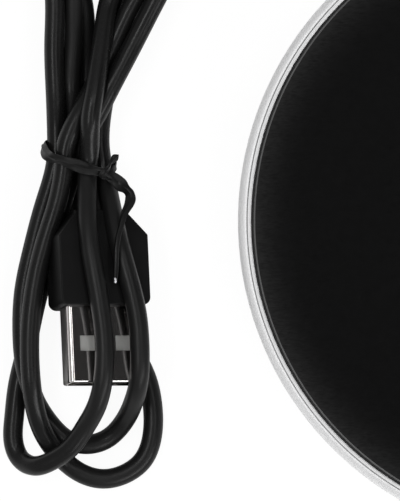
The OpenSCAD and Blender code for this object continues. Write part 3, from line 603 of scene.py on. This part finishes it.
# The folds in the order that the lead takes them, down and up through the tie
hankRoute = [
    # under the outer fold and down the left of the bundle
    (-59.6, 45, 2.8), (-62.6, 40, 3.9), (-66.1, 34.5, 4.5), (-69.8, 26.7, 4.8),
    (-72.9, 20.3, 5.7), (-74.4, 17.4, 6.9), (-75.95, 14.2, 7.4), (-76.85, 11.6, 7.2),
    (-77.1, 9.2, 7.05), (-78.2, 2.8, 7.2), (-79.6, -1.7, 7.2), (-81.2, -7.6, 7.0),
    (-82.2, -13.9, 7.4), (-82.5, -20.1, 7.5), (-82.2, -25.6, 7.0), (-81.4, -30.3, 5.2),
    (-80.1, -33.6, 4.2), (-79.0, -35.3, 3.6), (-77.3, -37.3, 2.3),
    # the lowest fold, on the table
    (-74.7, -39.3, 1.6), (-71.1, -40.3, 1.6), (-67.6, -39.5, 1.6), (-64.8, -37.3, 1.6),
    (-63.4, -33.6, 1.6), (-63.3, -29.2, 1.6), (-64.4, -24.2, 1.6),
    # back up beneath the plug
    (-68.1, -17.8, 1.6), (-70.9, -13.0, 1.6), (-73.7, -7.6, 1.6), (-75.6, -2.2, 1.6),
    (-76.0, 3.3, 1.6), (-76.7, 9.6, 2.0), (-76.3, 14.3, 2.1), (-75.8, 18.1, 3.6),
    (-76.0, 20.8, 4.4), (-75.8, 26.7, 4.5), (-75.7, 34.5, 4.5),
    # the widest top fold
    (-76.2, 40, 5.8), (-78.2, 46.5, 7.3), (-77, 54, 7.7), (-72, 59.2, 7.7),
    (-65.5, 59.6, 7.7), (-60, 55.5, 7.5), (-58, 48.5, 7.0), (-59.6, 41, 6.3),
    # down the far left, round the bottom and up over the plug
    (-62.8, 34.5, 6.0), (-66.8, 26.7, 6.2), (-70.4, 19.8, 6.9), (-72.3, 16.1, 6.6),
    (-73.5, 13.9, 6.1), (-74.8, 11.1, 4.7), (-75.7, 8.8, 4.2), (-76.9, 4.6, 4.4),
    (-78.0, 1.1, 4.2), (-78.9, -1.7, 3.0), (-79.7, -5.0, 1.8), (-80.6, -8.9, 1.6),
    (-81.9, -14.2, 1.6), (-83.3, -20.9, 1.6), (-84.4, -25.6, 1.6), (-85.0, -30.8, 1.6),
    (-85.1, -34.4, 1.7), (-84.2, -36.9, 2.3), (-82.8, -38.0, 3.6), (-81.2, -38.2, 5.0),
    (-78.5, -37.1, 6.3), (-76.2, -35.4, 7.4), (-73.8, -32.1, 9.0), (-71.9, -28.5, 11.5),
    (-70.9, -23.9, 13.1), (-70.8, -18.5, 13.1), (-71.5, -12.7, 12.9), (-72.6, -6.4, 12.3),
    (-73.3, -1.4, 11.0), (-73.5, 4.1, 8.6), (-73.4, 8.7, 7.1), (-73.1, 11.9, 8.0),
    (-73.0, 15.7, 9.7), (-72.3, 20.4, 9.2), (-71.6, 25.1, 7.8), (-70.9, 30.1, 6.0),
    (-70.1, 34.5, 4.5),
    # the middle top fold
    (-68.4, 38.4, 4.4), (-66.2, 42.5, 4.6), (-64.8, 47.5, 4.65), (-66, 53, 4.65),
    (-70.5, 56.6, 4.65), (-75.6, 56, 4.65), (-79.2, 51.5, 4.6), (-80, 45.5, 4.4),
    (-79.2, 39.5, 4.9),
    # down the left edge, round the inner fold and up over the plug's right side
    (-78.6, 34.6, 5.6), (-78.7, 27.6, 5.8), (-78.5, 20.5, 5.5), (-78.3, 14.2, 4.0),
    (-78.5, 8.8, 4.1), (-80.1, 3.0, 4.0), (-82.1, -4.5, 3.8), (-83.4, -10.8, 4.0),
    (-83.7, -17.0, 4.6), (-83.2, -22.9, 4.5), (-82.0, -27.2, 3.4), (-80.7, -29.8, 2.0),
    (-79.1, -32.0, 1.6), (-76.6, -34.2, 1.6), (-73.4, -34.9, 1.6), (-70.6, -34.1, 1.6),
    (-68.0, -31.6, 3.0), (-66.4, -28.5, 6.5), (-65.4, -24.4, 10.4), (-65.3, -19.3, 11.2),
    (-65.7, -14.6, 11.25), (-66.7, -10.0, 11.2), (-68.2, -4.5, 10.6), (-69.7, 2.0, 7.6),
    (-70.9, 7.7, 4.6), (-71.5, 11.1, 4.2), (-71.4, 15.8, 3.9), (-70.8, 19.7, 2.9),
    (-70.1, 23.6, 1.8), (-69.0, 29.1, 1.6), (-67.8, 34.6, 1.6),
    # the smallest top fold
    (-65.6, 39, 1.6), (-63, 44.2, 1.6), (-63.6, 49.6, 1.6), (-67.6, 53.4, 1.6),
    (-73, 53, 1.6), (-76.6, 48.4, 1.6), (-76.6, 42, 1.6),
    # down to the plug's neck
    (-74.3, 34.6, 1.6), (-73.8, 27.6, 1.6), (-73.6, 19.4, 1.6), (-73.2, 11.1, 1.6),
    (-72.8, 6.4, 2.6), (-72.2, 3.3, 5.0), (-71.7, 0.6, 6.3),
]

lead = {                    # lengths in mm
    "diameter": 3.1,
    "length": 785,
    "offTable": 0.03,       # least gap below it
    "steps": 7,             # curve points to each span of the route
    "sides": 6,             # bevel resolution
}


def smoothThrough(points, steps):  # natural cubic spline, spaced by the first three numbers
    p = np.array(points, float)
    h = np.linalg.norm(np.diff(p[:, :3], axis=0), axis=1)
    count = len(p)
    system = np.zeros((count, count))
    right = np.zeros(p.shape)
    system[0, 0] = system[-1, -1] = 1
    for i in range(1, count - 1):
        system[i, i - 1:i + 2] = h[i - 1], 2 * (h[i - 1] + h[i]), h[i]
        right[i] = 6 * ((p[i + 1] - p[i]) / h[i] - (p[i] - p[i - 1]) / h[i - 1])
    bend = np.linalg.solve(system, right)
    out = []
    for i in range(count - 1):
        for k in range(steps):
            b = k / steps
            a = 1 - b
            pull = (a ** 3 - a) * bend[i] + (b ** 3 - b) * bend[i + 1]
            out.append(a * p[i] + b * p[i + 1] + pull * h[i] ** 2 / 6)
    out.append(p[-1])
    return out


def settle(piece, finish, *replaced):  # its finish, its body and the nodes whose place it takes
    piece.data.materials.append(finishes[finish])
    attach(piece, homeBody)
    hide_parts(*replaced)


def layCord(look):
    run = smoothThrough(leadRoute + hankRoute, look["steps"])
    lowest = look["diameter"] / 2 + look["offTable"]
    curve = bpy.data.curves.new("usb_lead", "CURVE")
    curve.dimensions = "3D"
    curve.bevel_depth = look["diameter"] / 2 * mm
    curve.bevel_resolution = look["sides"]
    curve.use_fill_caps = True
    line = curve.splines.new("POLY")
    line.points.add(len(run) - 1)
    for point, (x, y, z) in zip(line.points, run):
        point.co = (x * mm, y * mm, max(z, lowest) * mm, 1)
    line.use_smooth = True
    piece = bpy.data.objects.new("usb_lead", curve)
    bpy.context.scene.collection.objects.link(piece)
    settle(piece, "jacket_black", "cord_lead", "cord_hank")
    print("cord:", len(run), "points")
    return piece


cordPiece = layCord(lead)

tie = {                     # lengths in mm
    "wide": 1.7,
    "thin": 0.13,           # half thickness of the flat wings
    "rib": 0.17,            # how far the wire's sleeve stands above them
    "ribSpread": 0.22,      # its half width, as a share of the ribbon's
    "around": 20,           # faces round the ribbon's section
    "steps": 6,
    "crispFrom": 50,        # edges that turn more than this stay crisp, degrees
    "wireRadius": 0.33,
    "wireFaces": 16,
    "wireOut": 0.45,        # how far the wire stands out of the ribbon's end
    "wireEdge": 0.3,        # rounding of its cut end, as a share of its radius
    "wireEdgeSteps": 3,
}

# The ribbon from its stub to its loose end: place in mm, then a vector across it, which is 1 long
# where it lies flat and shorter where it is folded
tieRoute = [
    # the short stub, then down through the knot
    (-68.65, 10.3, 7.4, -0.08, 0.1, 0), (-69.05, 9.95, 7.6, -0.25, 0.62, 0.1),
    (-69.6, 9.45, 7.8, -0.2, 0.5, 0.2), (-69.95, 8.95, 8.3, -0.2, 0.22, 0.2),
    (-70.15, 8.35, 9.1, -0.3, 0.2, 0.2), (-70.7, 7.75, 9.7, -0.45, 0.4, 0.2),
    (-71.15, 7.1, 9.6, -0.45, 0.35, 0.3), (-70.8, 6.7, 8.6, 0.3, -0.3, 0.5),
    # down the right side and under the hank
    (-69.5, 7.6, 6.8, 0.1, -0.95, 0), (-69.2, 8.3, 4.8, -0.28, -0.95, 0),
    (-69.6, 9.0, 2.4, -0.28, -0.95, 0), (-70.8, 9.5, 0.75, -0.28, -0.95, 0),
    (-73.0, 10.3, 0.42, -0.28, -0.95, 0),
    (-77.2, 11.5, 0.42, -0.28, -0.95, 0), (-79.3, 12.0, 1.2, -0.3, -0.9, -0.3),
    # round the left side, standing off the lead
    (-80.3, 11.9, 3.2, -0.3, -0.8, -0.4), (-80.4, 11.4, 5.2, -0.5, -0.75, -0.45),
    (-80.1, 10.7, 7.0, -0.7, -0.5, -0.5), (-79.5, 10.1, 8.5, -0.7, -0.5, -0.5),
    # over the top to the knot
    (-78.4, 9.75, 9.25, -0.35, -0.7, -0.7), (-76.9, 9.25, 9.4, -0.2, -0.85, -0.6),
    (-75.3, 8.75, 9.35, -0.3, -1.1, -0.1), (-73.5, 8.1, 9.2, -0.28, -1.05, 0.1),
    (-71.9, 7.75, 8.95, -0.3, -0.75, 0.5), (-70.8, 7.4, 8.5, -0.4, -0.75, 0.3),
    (-69.75, 6.9, 7.9, -0.55, -0.9, 0),
    # the tail, wide at first, which then folds and lies down along the plug
    (-68.8, 6.2, 7.8, -0.75, -0.95, -0.1), (-68.0, 5.4, 8.1, -0.85, -0.85, 0.1),
    (-67.35, 4.85, 8.7, -0.45, -0.65, 0.3), (-66.95, 4.4, 9.3, -0.7, -0.5, 0.2),
    (-66.75, 3.8, 9.8, -0.95, 0, 0.1), (-66.8, 3.1, 10.2, -0.95, 0.2, -0.1),
    (-67.15, 2.2, 10.8, -0.75, 0.3, -0.3), (-67.7, 1.1, 11.5, -0.55, 0.3, -0.5),
    (-68.15, -0.6, 12.1, -0.5, 0.1, -0.6), (-68.6, -2.33, 12.5, -0.46, 0.08, -0.62),
    (-68.9, -4.5, 12.8, -0.5, 0, -0.5), (-69.0, -7.0, 12.6, -0.5, 0, -0.45),
    (-69.1, -9.2, 12.1, -0.42, 0, -0.4),
]


def lengths(rows):  # as a column
    return np.linalg.norm(rows, axis=1)[:, None]


def sweepBand(name, rows, look):  # a grid rolled round the route into a closed ribbon
    last = len(rows) - 1
    deselectAll()
    bpy.ops.mesh.primitive_grid_add(x_subdivisions=last, y_subdivisions=look["around"], size=2)
    band = bpy.context.object
    band.name = name
    spots, widths = rows[:, :3], rows[:, 3:]
    along = np.gradient(spots, axis=0)
    along /= lengths(along)
    across = widths - along * np.sum(widths * along, axis=1)[:, None]
    across /= lengths(across)
    facing = np.cross(along, across)
    reach = across * lengths(widths) * look["wide"] / 2
    for v in band.data.vertices:
        i = round((v.co.x + 1) / 2 * last)
        turn = (v.co.y + 1) * math.pi
        side = math.cos(turn)
        rib = look["rib"] * math.exp(-(side / look["ribSpread"]) ** 2)
        lift = (look["thin"] + rib) * math.sin(turn)
        v.co = Vector(spots[i] + reach[i] * side + facing[i] * lift) * mm
    bpy.ops.object.mode_set(mode="EDIT")
    bpy.ops.mesh.select_all(action="SELECT")
    bpy.ops.mesh.remove_doubles(threshold=samePlace)
    bpy.ops.mesh.select_all(action="DESELECT")
    bpy.ops.mesh.select_mode(type="EDGE")
    bpy.ops.mesh.select_non_manifold()
    bpy.ops.mesh.fill()
    bpy.ops.mesh.select_all(action="SELECT")
    bpy.ops.mesh.normals_make_consistent(inside=False)
    bpy.ops.object.mode_set(mode="OBJECT")
    bpy.ops.object.shade_smooth_by_angle(angle=math.radians(look["crispFrom"]))
    return band


def wrapTie(look):
    rows = np.array(smoothThrough(tieRoute, look["steps"]))
    band = sweepBand("tie_ribbon", rows, look)
    settle(band, "tie_black", "twist_tie")
    print("tie:", len(band.data.polygons), "faces")
    return band


def cutWire(look):  # the bare end of the wire inside the ribbon
    before, end = inMetres([tieRoute[-2][:3], tieRoute[-1][:3]])
    deselectAll()
    bpy.ops.mesh.primitive_cylinder_add(
        vertices=look["wireFaces"], radius=look["wireRadius"] * mm, depth=2 * look["wireOut"] * mm,
        location=end, rotation=(end - before).to_track_quat("Z", "Y").to_euler())
    wire = bpy.context.object
    wire.name = "tie_wire"
    bpy.ops.object.transform_apply(location=True, rotation=True, scale=True)
    applyModifier(wire, "BEVEL", width=look["wireEdge"] * look["wireRadius"] * mm,
                  segments=look["wireEdgeSteps"], limit_method="ANGLE")
    bpy.ops.object.shade_smooth_by_angle(angle=math.radians(look["crispFrom"]))
    settle(wire, "screw_steel", "twist_tie")
    print("wire:", len(wire.data.polygons), "faces")
    return wire


tiePiece = wrapTie(tie)
wirePiece = cutWire(tie)

plug = {                          # lengths in mm
    "at": (-72.05, -2.65, 6.3),   # back of the grip
    "turn": (2.6, -8, 18),        # yaw, pitch and roll in degrees
    "grip": (14.5, 11, 7.5),
    "shoulder": 3.6,              # the taper from the grip to its neck
    "neck": (8.7, 0.5, 5.7),
    "mouthRound": 1.2,            # of the grip's upright edges by the shell
    "edge": 0.35,                 # rounding of its other edges
    "edgeFrom": 25,               # where they turn more than this, degrees
    "edgeSteps": 3,
    "shell": (12, 12, 4.5),
    "shellIn": 0.5,               # how far it goes on inside the grip
    "shellRound": 0.75,
    "roundSteps": 6,              # faces round each corner of the grip's mouth and the shell
    "lipRound": 0.32,
    "lipSteps": 5,
    "sheet": 0.25,
    "window": (2.5, 2.4),
    "windowOut": 2.9,             # from the middle line
    "windowFrom": 4.95,           # from the mouth
    "crispFrom": 35,              # edges that turn more than this stay crisp, degrees
    "flatWeight": 100,            # how far the broad faces lead the shading
}


def addBlock(name, size, centre):
    deselectAll()
    bpy.ops.mesh.primitive_cube_add(size=mm, location=[c * mm for c in centre])
    block = bpy.context.object
    block.name = name
    block.scale = size
    bpy.ops.object.transform_apply(location=True, rotation=False, scale=True)
    return block


def pick(piece, kind, test):  # in edit mode
    bpy.ops.mesh.select_mode(type=kind)
    bpy.ops.mesh.select_all(action="DESELECT")
    shape = bmesh.from_edit_mesh(piece.data)
    for item in {"EDGE": shape.edges, "FACE": shape.faces}[kind]:
        item.select_set(bool(test(item)))
    bmesh.update_edit_mesh(piece.data)


def edgeRuns(edge, letter):  # along the axis of that letter
    a, b = edge.verts
    step = b.co - a.co
    return abs(step["XYZ".index(letter)]) > square * step.length


def edgeAt(edge, place):  # both ends at one place along the plug
    return all(abs(v.co.y - place) < samePlace for v in edge.verts)


def layPlugPiece(piece, look, finish, node):
    yaw, pitch, roll = [math.radians(a) for a in look["turn"]]
    piece.matrix_world = (Matrix.Translation(Vector(look["at"]) * mm) @ Matrix.Rotation(yaw, 4, "Z")
                          @ Matrix.Rotation(pitch, 4, "X") @ Matrix.Rotation(roll, 4, "Y"))
    selectOnly(piece)
    bpy.ops.object.transform_apply(location=True, rotation=True, scale=True)
    bpy.ops.object.shade_smooth_by_angle(angle=math.radians(look["crispFrom"]))
    applyModifier(piece, "WEIGHTED_NORMAL", weight=look["flatWeight"], keep_sharp=True)
    piece.data.materials.clear()
    settle(piece, finish, node)
    print(piece.name + ":", len(piece.data.polygons), "faces")
    return piece


def mouldGrip(look):
    wide, long, high = look["grip"]
    neckWide, neckLong, neckHigh = look["neck"]
    taper = (0, look["shoulder"] * mm, 0)
    block = addBlock("usb_grip", look["grip"], (0, -long / 2, 0))
    bpy.ops.object.mode_set(mode="EDIT")
    pick(block, "FACE", lambda face: face.normal.y > square)
    bpy.ops.mesh.extrude_region_move(TRANSFORM_OT_translate={"value": taper})
    bpy.ops.transform.resize(value=(neckWide / wide, 1, neckHigh / high), center_override=taper)
    bpy.ops.mesh.extrude_region_move(TRANSFORM_OT_translate={"value": (0, neckLong * mm, 0)})
    pick(block, "EDGE", lambda edge: edgeRuns(edge, "Z") and edgeAt(edge, -long * mm))
    bpy.ops.mesh.bevel(offset=look["mouthRound"] * mm, segments=look["roundSteps"], affect="EDGES")
    bpy.ops.object.mode_set(mode="OBJECT")
    applyModifier(block, "BEVEL", width=look["edge"] * mm, segments=look["edgeSteps"],
                  limit_method="ANGLE", angle_limit=math.radians(look["edgeFrom"]))
    return layPlugPiece(block, look, "grip_black", "plug_grip")


def foldShell(look):
    wide, long, high = look["shell"]
    back = -look["grip"][1] + look["shellIn"]
    front = -look["grip"][1] - long
    block = addBlock("usb_shell", (wide, back - front, high), (0, (back + front) / 2, 0))
    bpy.ops.object.mode_set(mode="EDIT")
    pick(block, "EDGE", lambda edge: edgeRuns(edge, "Y"))
    bpy.ops.mesh.bevel(offset=look["shellRound"] * mm, segments=look["roundSteps"], affect="EDGES")
    pick(block, "EDGE", lambda edge: edgeAt(edge, front * mm))
    bpy.ops.mesh.bevel(offset=look["lipRound"] * mm, segments=look["lipSteps"], affect="EDGES")
    pick(block, "FACE", lambda face: face.normal.y < -square)
    bpy.ops.mesh.delete(type="FACE")
    bpy.ops.object.mode_set(mode="OBJECT")
    applyModifier(block, "SOLIDIFY", thickness=look["sheet"] * mm, offset=-1)
    across, along = look["window"]
    for side in (-1, 1):
        place = (side * look["windowOut"], front + look["windowFrom"] + along / 2, 0)
        cutter = addBlock("window", (across, along, 3 * high), place)  # through both walls
        applyModifier(block, "BOOLEAN", object=cutter, operation="DIFFERENCE", solver="EXACT")
        bpy.data.objects.remove(cutter)
    return layPlugPiece(block, look, "shell_steel", "plug_shell")


gripPiece = mouldGrip(plug)
shellPiece = foldShell(plug)

studio = {                  # in metres where nothing else is said
    "floorHalf": 3.0,
    "floorWhite": 0.90,
    "paper": 0.90,          # how much of the camera's view of the floor is plain white paper
    "glow": 1.04,           # how bright that paper is
    "shaded": 12,           # a piece mirrors the floor's own shade within this distance, mm
    "world": 0.37,          # how bright the sky is
    "card": (0.57, 0.276, 0.774),     # a black card hangs this way, so that the plug's face stays dark
    "cardDark": 0.02,
    "cardEdge": (0.87, 0.95),         # cosines of the angles where it begins and is full
    "stripLong": 1.0,
    "stripAway": 1.2,       # from the middle of the view
    "strips": {             # degrees round, degrees from straight up, width, power in W
        "left": (180, 22, 0.22, 3.8),
        "right": (0, 22, 0.22, 1.4),
        "back": (90, 22, 0.22, 1.4),
        "front": (307, 54, 0.25, 5.6),
    },
}


def whitePaper(s):  # plain white to the camera and in mirrors, and matt as far as it keeps a shadow
    paper = bpy.data.materials.new("paper")
    paper.use_nodes = True
    tree = paper.node_tree
    tree.nodes.clear()
    shade = Shade(tree)
    paths = {kind: shade.node("LightPath", {}, {}, kind) for kind in (
        "Is Camera Ray", "Is Glossy Ray", "Is Transmission Ray", "Ray Length")}
    mirrored = paths["Is Glossy Ray"] * (paths["Ray Length"] > s["shaded"] * mm)
    seen = (paths["Is Camera Ray"] + mirrored + paths["Is Transmission Ray"]).held()
    matt = shade.node("BsdfDiffuse", {}, {"Color": grey(s["floorWhite"])})
    glow = shade.node("Emission", {}, {"Color": grey(1), "Strength": s["glow"]})
    both = shade.node("MixShader", {}, {0: seen * s["paper"], 1: matt, 2: glow})
    out = tree.nodes.new("ShaderNodeOutputMaterial")
    shade.feed(out.inputs["Surface"], both)
    return paper


def layFloor(s):
    bpy.ops.mesh.primitive_plane_add(size=2 * s["floorHalf"], location=(0, 0, 0))
    floor = bpy.context.object
    floor.name = "floor"
    floor.data.materials.append(whitePaper(s))


def paintSky(s):  # even white, with the black card in it
    world = bpy.data.worlds.new("studio")
    bpy.context.scene.world = world
    world.use_nodes = True
    sky = world.node_tree.nodes["Background"]
    shade = Shade(world.node_tree)
    towards = shade.node("TexCoord", {}, {}, "Generated")
    facing = shade.node("VectorMath", {"operation": "DOT_PRODUCT"}, {0: towards, 1: s["card"]}, "Value")
    begins, full = s["cardEdge"]
    level = shade.node("MapRange", {"interpolation_type": "SMOOTHSTEP"}, {
        "Value": facing, "From Min": begins, "From Max": full,
        "To Min": s["world"], "To Max": s["cardDark"]})
    shade.feed(sky.inputs["Color"], grey(1))
    shade.feed(sky.inputs["Strength"], level)


def hangStrips(s):
    middle = Vector((camera["aimAt"][0] * mm, 0, 0))
    for name, (turn, tilt, wide, power) in s["strips"].items():
        around, lean = math.radians(turn), math.radians(tilt)
        aside = math.sin(lean)
        away = Vector((math.cos(around) * aside, math.sin(around) * aside, math.cos(lean)))
        bpy.ops.object.light_add(type="AREA", location=middle + away * s["stripAway"])
        lamp = bpy.context.object
        lamp.name = "strip_" + name
        lamp.data.shape = "RECTANGLE"
        lamp.data.size = s["stripLong"]
        lamp.data.size_y = wide
        lamp.data.energy = power
        lamp.rotation_mode = "QUATERNION"
        lamp.rotation_quaternion = away.to_track_quat("Z", "Y")


layFloor(studio)
paintSky(studio)
hangStrips(studio)
bpy.context.scene.view_settings.view_transform = "Standard"
print("studio:", len(studio["strips"]), "strip lights")
